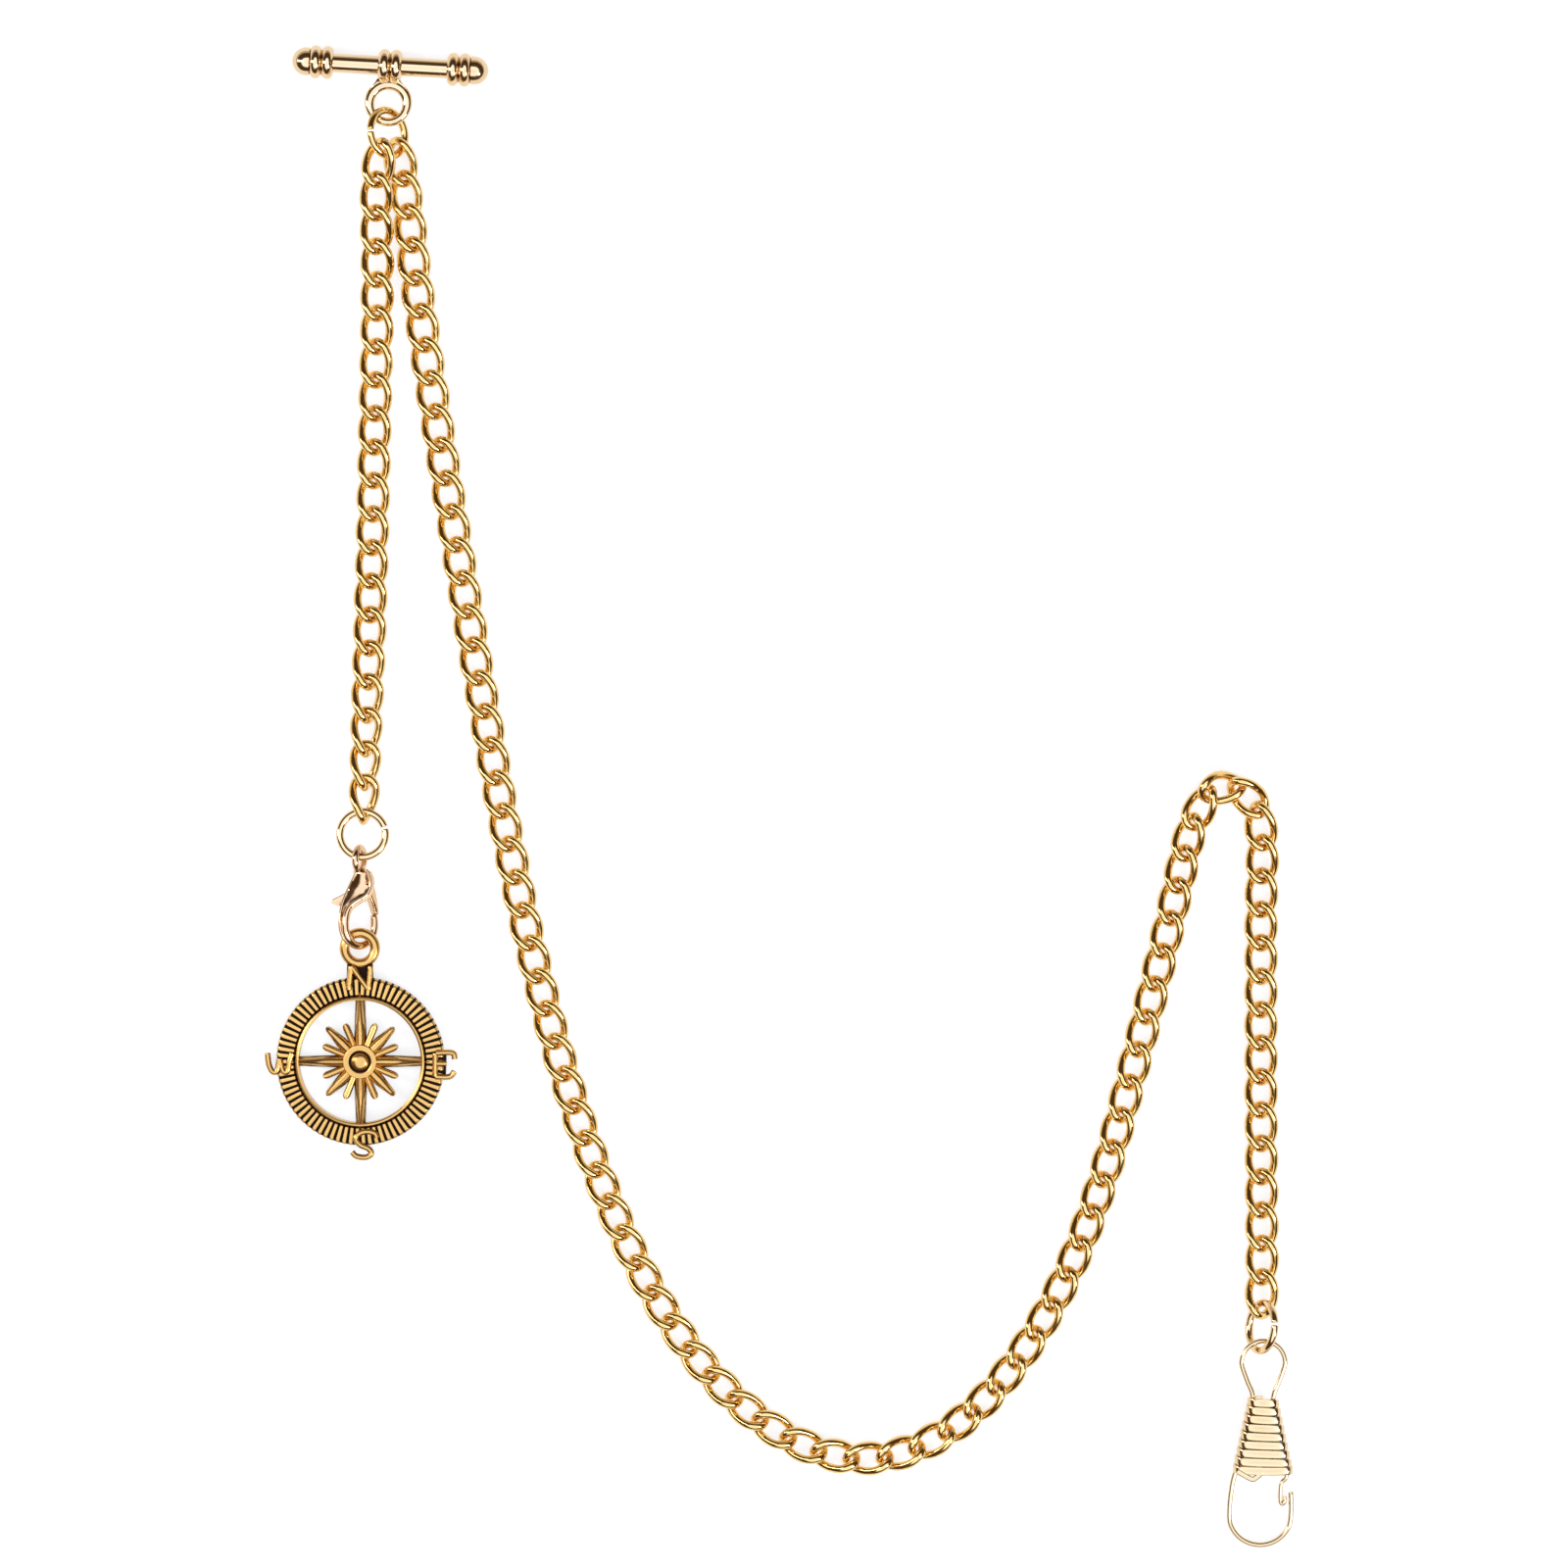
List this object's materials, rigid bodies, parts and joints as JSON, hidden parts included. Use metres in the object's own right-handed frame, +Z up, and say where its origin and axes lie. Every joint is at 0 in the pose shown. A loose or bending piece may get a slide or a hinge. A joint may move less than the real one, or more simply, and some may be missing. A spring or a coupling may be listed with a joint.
{
  "type": "pocket watch chain",
  "caption": "Double Albert pocket watch chain laid out flat: T-bar, long curb strand to a wound-wire clip, short fob strand to a clasp and compass charm",
  "frame": {"origin": "middle of the bounding box, on the surface it lies on", "axes": "+Z up off the surface, +Y towards the T-bar, +X from the fob strand towards the main strand's clip; metres"},
  "size_m": [0.1313, 0.1914, 0.0064],
  "materials": {
    "chain": "polished orange-gold plate",
    "t_bar": "polished pale champagne gold plate",
    "ring": "polished gold plate",
    "clasp": "polished rosy gold plate",
    "spring": "bare spring wire",
    "charm": "antique gold with dark patina in the recesses",
    "clip": "polished pale yellow gold plate"
  },
  "bodies": {
    "t_bar": {"t_bar_rod": "t_bar", "t_bar_left_finial": "t_bar", "t_bar_right_finial": "t_bar", "t_bar_collar": "t_bar", "t_bar_ring": "t_bar"},
    "top_ring": {"top_jump_ring": "chain"},
    "fob_1": {"fob_links_01": "chain"},
    "fob_2": {"fob_links_02": "chain"},
    "fob_3": {"fob_links_03": "chain"},
    "fob_4": {"fob_links_04": "chain"},
    "fob_5": {"fob_links_05": "chain"},
    "fob_6": {"fob_links_06": "chain"},
    "fob_7": {"fob_links_07": "chain"},
    "fob_8": {"fob_links_08": "chain"},
    "fob_ring": {"fob_jump_ring": "ring"},
    "clasp": {"clasp_body": "clasp", "clasp_rivet": "clasp", "clasp_spring": "spring"},
    "gate": {"clasp_gate": "clasp"},
    "charm": {"compass_charm": "charm"},
    "main_1": {"main_links_01": "chain"},
    "main_2": {"main_links_02": "chain"},
    "main_3": {"main_links_03": "chain"},
    "main_4": {"main_links_04": "chain"},
    "main_5": {"main_links_05": "chain"},
    "main_6": {"main_links_06": "chain"},
    "main_7": {"main_links_07": "chain"},
    "main_8": {"main_links_08": "chain"},
    "main_9": {"main_links_09": "chain"},
    "main_10": {"main_links_10": "chain"},
    "main_11": {"main_links_11": "chain"},
    "main_12": {"main_links_12": "chain"},
    "main_13": {"main_links_13": "chain"},
    "main_14": {"main_links_14": "chain"},
    "main_15": {"main_links_15": "chain"},
    "main_16": {"main_links_16": "chain"},
    "main_17": {"main_links_17": "chain"},
    "main_18": {"main_links_18": "chain"},
    "main_19": {"main_links_19": "chain"},
    "main_20": {"main_links_20": "chain"},
    "main_21": {"main_links_21": "chain"},
    "main_22": {"main_links_22": "chain"},
    "main_23": {"main_links_23": "chain"},
    "main_24": {"main_links_24": "chain"},
    "main_25": {"main_links_25": "chain"},
    "main_26": {"main_links_26": "chain"},
    "main_27": {"main_links_27": "chain"},
    "main_28": {"main_links_28": "chain"},
    "main_29": {"main_links_29": "chain"},
    "main_30": {"main_links_30": "chain"},
    "main_31": {"main_links_31": "chain"},
    "main_32": {"main_links_32": "chain"},
    "main_33": {"main_links_33": "chain"},
    "watch_ring": {"watch_jump_ring": "ring"},
    "clip": {"clip_frame": "clip", "clip_winding": "clip"},
    "latch": {"clip_latch": "clip"}
  },
  "joints": [
    {"name": "top_ring_swing", "type": "hinge", "parent": "t_bar", "child": "top_ring", "pos_m": [-0.04975, 0.086, 0.0022], "axis": [1, 0, 0], "range_deg": [-25, 45]},
    {"name": "fob_01_turn", "type": "hinge", "parent": "top_ring", "child": "fob_1", "pos_m": [-0.05057, 0.0823, 0.00379], "axis": [0.9877, -0.1564, 0], "range_deg": [-20, 0]},
    {"name": "fob_02_turn", "type": "hinge", "parent": "fob_1", "child": "fob_2", "pos_m": [-0.0512, 0.07811, 0.00359], "axis": [0.9962, -0.0873, 0], "range_deg": [-20, 5]},
    {"name": "fob_03_turn", "type": "hinge", "parent": "fob_2", "child": "fob_3", "pos_m": [-0.05115, 0.06549, 0.00171], "axis": [-0.9999, -0.013, 0], "range_deg": [-25, 25]},
    {"name": "fob_04_turn", "type": "hinge", "parent": "fob_3", "child": "fob_4", "pos_m": [-0.05139, 0.05272, 0.00135], "axis": [0, 0, -1], "range_deg": [0, 25]},
    {"name": "fob_05_turn", "type": "hinge", "parent": "fob_4", "child": "fob_5", "pos_m": [-0.05167, 0.03992, 0.00135], "axis": [0.9997, -0.0225, 0], "range_deg": [-25, 25]},
    {"name": "fob_06_turn", "type": "hinge", "parent": "fob_5", "child": "fob_6", "pos_m": [-0.05197, 0.0271, 0.00135], "axis": [0, 0, 1], "range_deg": [-25, 5]},
    {"name": "fob_07_turn", "type": "hinge", "parent": "fob_6", "child": "fob_7", "pos_m": [-0.05237, 0.01427, 0.00155], "axis": [-0.9995, 0.0305, 0], "range_deg": [-25, 25]},
    {"name": "fob_08_turn", "type": "hinge", "parent": "fob_7", "child": "fob_8", "pos_m": [-0.05265, 0.00573, 0.0018], "axis": [-0.0009, -0.0262, -0.9997], "range_deg": [-10, 25]},
    {"name": "fob_ring_turn", "type": "hinge", "parent": "fob_8", "child": "fob_ring", "pos_m": [-0.05292, -0.00283, 0.00206], "axis": [1, 0, 0], "range_deg": [-25, 20]},
    {"name": "clasp_turn", "type": "hinge", "parent": "fob_ring", "child": "clasp", "pos_m": [-0.05317, -0.00705, 0.00266], "axis": [1, 0, 0], "range_deg": [-15, 15]},
    {"name": "gate_swing", "type": "hinge", "parent": "clasp", "child": "gate", "pos_m": [-0.0528, -0.01136, 0.00204], "axis": [0.7124, -0.0386, 0.7007], "range_deg": [-30, 0], "stiffness_Nm_per_rad": 0.002},
    {"name": "charm_swing", "type": "hinge", "parent": "clasp", "child": "charm", "pos_m": [-0.05344, -0.01935, 0.00225], "axis": [0, 0, 1], "range_deg": [-25, 35]},
    {"name": "main_01_turn", "type": "hinge", "parent": "top_ring", "child": "main_1", "pos_m": [-0.04869, 0.08253, 0.00149], "axis": [0.0091, -0.0427, 0.999], "range_deg": [0, 25]},
    {"name": "main_02_turn", "type": "hinge", "parent": "main_1", "child": "main_2", "pos_m": [-0.04781, 0.07837, 0.00131], "axis": [0.9863, 0.165, 0], "range_deg": [-10, 25]},
    {"name": "main_03_turn", "type": "hinge", "parent": "main_2", "child": "main_3", "pos_m": [-0.0463, 0.0657, 0.00134], "axis": [-0.0011, 0.0087, 1], "range_deg": [-5, 25]},
    {"name": "main_04_turn", "type": "hinge", "parent": "main_3", "child": "main_4", "pos_m": [-0.04446, 0.05295, 0.00135], "axis": [-0.9887, -0.15, 0], "range_deg": [-25, 25]},
    {"name": "main_05_turn", "type": "hinge", "parent": "main_4", "child": "main_5", "pos_m": [-0.04246, 0.0402, 0.00135], "axis": [0, 0, -1], "range_deg": [-25, 5]},
    {"name": "main_06_turn", "type": "hinge", "parent": "main_5", "child": "main_6", "pos_m": [-0.04039, 0.02747, 0.00135], "axis": [0.9866, 0.1629, 0], "range_deg": [-25, 25]},
    {"name": "main_07_turn", "type": "hinge", "parent": "main_6", "child": "main_7", "pos_m": [-0.03825, 0.01475, 0.00135], "axis": [0, 0, 1], "range_deg": [-10, 25]},
    {"name": "main_08_turn", "type": "hinge", "parent": "main_7", "child": "main_8", "pos_m": [-0.03604, 0.00204, 0.00135], "axis": [-0.984, -0.1779, 0], "range_deg": [-25, 25]},
    {"name": "main_09_turn", "type": "hinge", "parent": "main_8", "child": "main_9", "pos_m": [-0.03358, -0.01062, 0.00135], "axis": [0, 0, -1], "range_deg": [-25, 20]},
    {"name": "main_10_turn", "type": "hinge", "parent": "main_9", "child": "main_10", "pos_m": [-0.03073, -0.0232, 0.00135], "axis": [0.9708, 0.2398, 0], "range_deg": [-25, 25]},
    {"name": "main_11_turn", "type": "hinge", "parent": "main_10", "child": "main_11", "pos_m": [-0.02736, -0.03565, 0.00135], "axis": [0, 0, 1], "range_deg": [-25, 25]},
    {"name": "main_12_turn", "type": "hinge", "parent": "main_11", "child": "main_12", "pos_m": [-0.02325, -0.04788, 0.00135], "axis": [-0.9351, -0.3543, 0], "range_deg": [-25, 25]},
    {"name": "main_13_turn", "type": "hinge", "parent": "main_12", "child": "main_13", "pos_m": [-0.01814, -0.05972, 0.00135], "axis": [0, 0, -1], "range_deg": [-25, 25]},
    {"name": "main_14_turn", "type": "hinge", "parent": "main_13", "child": "main_14", "pos_m": [-0.01141, -0.0707, 0.00135], "axis": [0.796, 0.6053, 0], "range_deg": [-25, 25]},
    {"name": "main_15_turn", "type": "hinge", "parent": "main_14", "child": "main_15", "pos_m": [-0.00243, -0.0798, 0.00135], "axis": [0, 0, 1], "range_deg": [-25, 25]},
    {"name": "main_16_turn", "type": "hinge", "parent": "main_15", "child": "main_16", "pos_m": [0.0092, -0.08473, 0.00135], "axis": [-0.0872, -0.9962, 0], "range_deg": [-25, 25]},
    {"name": "main_17_turn", "type": "hinge", "parent": "main_16", "child": "main_17", "pos_m": [0.02132, -0.08141, 0.00135], "axis": [0, 0, -1], "range_deg": [-25, 25]},
    {"name": "main_18_turn", "type": "hinge", "parent": "main_17", "child": "main_18", "pos_m": [0.03026, -0.07236, 0.00135], "axis": [-0.809, 0.5878, 0], "range_deg": [-25, 25]},
    {"name": "main_19_turn", "type": "hinge", "parent": "main_18", "child": "main_19", "pos_m": [0.03673, -0.06123, 0.00135], "axis": [0, 0, 1], "range_deg": [-25, 25]},
    {"name": "main_20_turn", "type": "hinge", "parent": "main_19", "child": "main_20", "pos_m": [0.04124, -0.04915, 0.00135], "axis": [0.955, -0.2965, 0], "range_deg": [-25, 25]},
    {"name": "main_21_turn", "type": "hinge", "parent": "main_20", "child": "main_21", "pos_m": [0.04467, -0.03672, 0.00135], "axis": [0, 0, -1], "range_deg": [-25, 25]},
    {"name": "main_22_turn", "type": "hinge", "parent": "main_21", "child": "main_22", "pos_m": [0.04785, -0.02422, 0.00135], "axis": [-0.9708, 0.2398, 0], "range_deg": [-25, 25]},
    {"name": "main_23_turn", "type": "hinge", "parent": "main_22", "child": "main_23", "pos_m": [0.05081, -0.01165, 0.00138], "axis": [-0.0037, -0.0171, 0.9998], "range_deg": [-15, 25]},
    {"name": "main_24_turn", "type": "hinge", "parent": "main_23", "child": "main_24", "pos_m": [0.05168, -0.00756, 0.00151], "axis": [0.9734, -0.2292, 0], "range_deg": [-25, 25]},
    {"name": "main_25_turn", "type": "hinge", "parent": "main_24", "child": "main_25", "pos_m": [0.05272, -0.00355, 0.00171], "axis": [0.0349, 0.09, -0.9953], "range_deg": [-25, 15]},
    {"name": "main_26_turn", "type": "hinge", "parent": "main_25", "child": "main_26", "pos_m": [0.05452, 0.00027, 0.00251], "axis": [-0.5989, 0.8008, 0], "range_deg": [-15, 25]},
    {"name": "main_27_turn", "type": "hinge", "parent": "main_26", "child": "main_27", "pos_m": [0.05829, 0.00112, 0.00165], "axis": [0.2446, -0.0775, 0.9665], "range_deg": [-15, 30]},
    {"name": "main_28_turn", "type": "hinge", "parent": "main_27", "child": "main_28", "pos_m": [0.06114, -0.00194, 0.00147], "axis": [-0.8918, -0.4524, 0], "range_deg": [-20, 25]},
    {"name": "main_29_turn", "type": "hinge", "parent": "main_28", "child": "main_29", "pos_m": [0.06164, -0.00619, 0.00152], "axis": [-0.0016, 0.0262, -0.9997], "range_deg": [-25, 15]},
    {"name": "main_30_turn", "type": "hinge", "parent": "main_29", "child": "main_30", "pos_m": [0.0614, -0.01472, 0.00136], "axis": [0.9999, -0.0131, 0], "range_deg": [-25, 25]},
    {"name": "main_31_turn", "type": "hinge", "parent": "main_30", "child": "main_31", "pos_m": [0.0614, -0.02749, 0.00135], "axis": [0, 0, 1], "range_deg": [-20, 25]},
    {"name": "main_32_turn", "type": "hinge", "parent": "main_31", "child": "main_32", "pos_m": [0.06141, -0.04028, 0.00137], "axis": [-1, -0.0022, 0], "range_deg": [-25, 25]},
    {"name": "main_33_turn", "type": "hinge", "parent": "main_32", "child": "main_33", "pos_m": [0.06148, -0.05303, 0.0016], "axis": [0.0001, -0.0218, -0.9998], "range_deg": [-25, 25]},
    {"name": "watch_ring_turn", "type": "hinge", "parent": "main_33", "child": "watch_ring", "pos_m": [0.06138, -0.06577, 0.00208], "axis": [1, 0, 0], "range_deg": [-30, 20]},
    {"name": "clip_turn", "type": "hinge", "parent": "watch_ring", "child": "clip", "pos_m": [0.0616, -0.07004, 0.00315], "axis": [1, 0, 0], "range_deg": [-50, 50]},
    {"name": "latch_spring", "type": "hinge", "parent": "clip", "child": "latch", "pos_m": [0.0639, -0.08506, 0.00157], "axis": [0, -0.1045, 0.9945], "range_deg": [-25, 0], "stiffness_Nm_per_rad": 0.002}
  ]
}
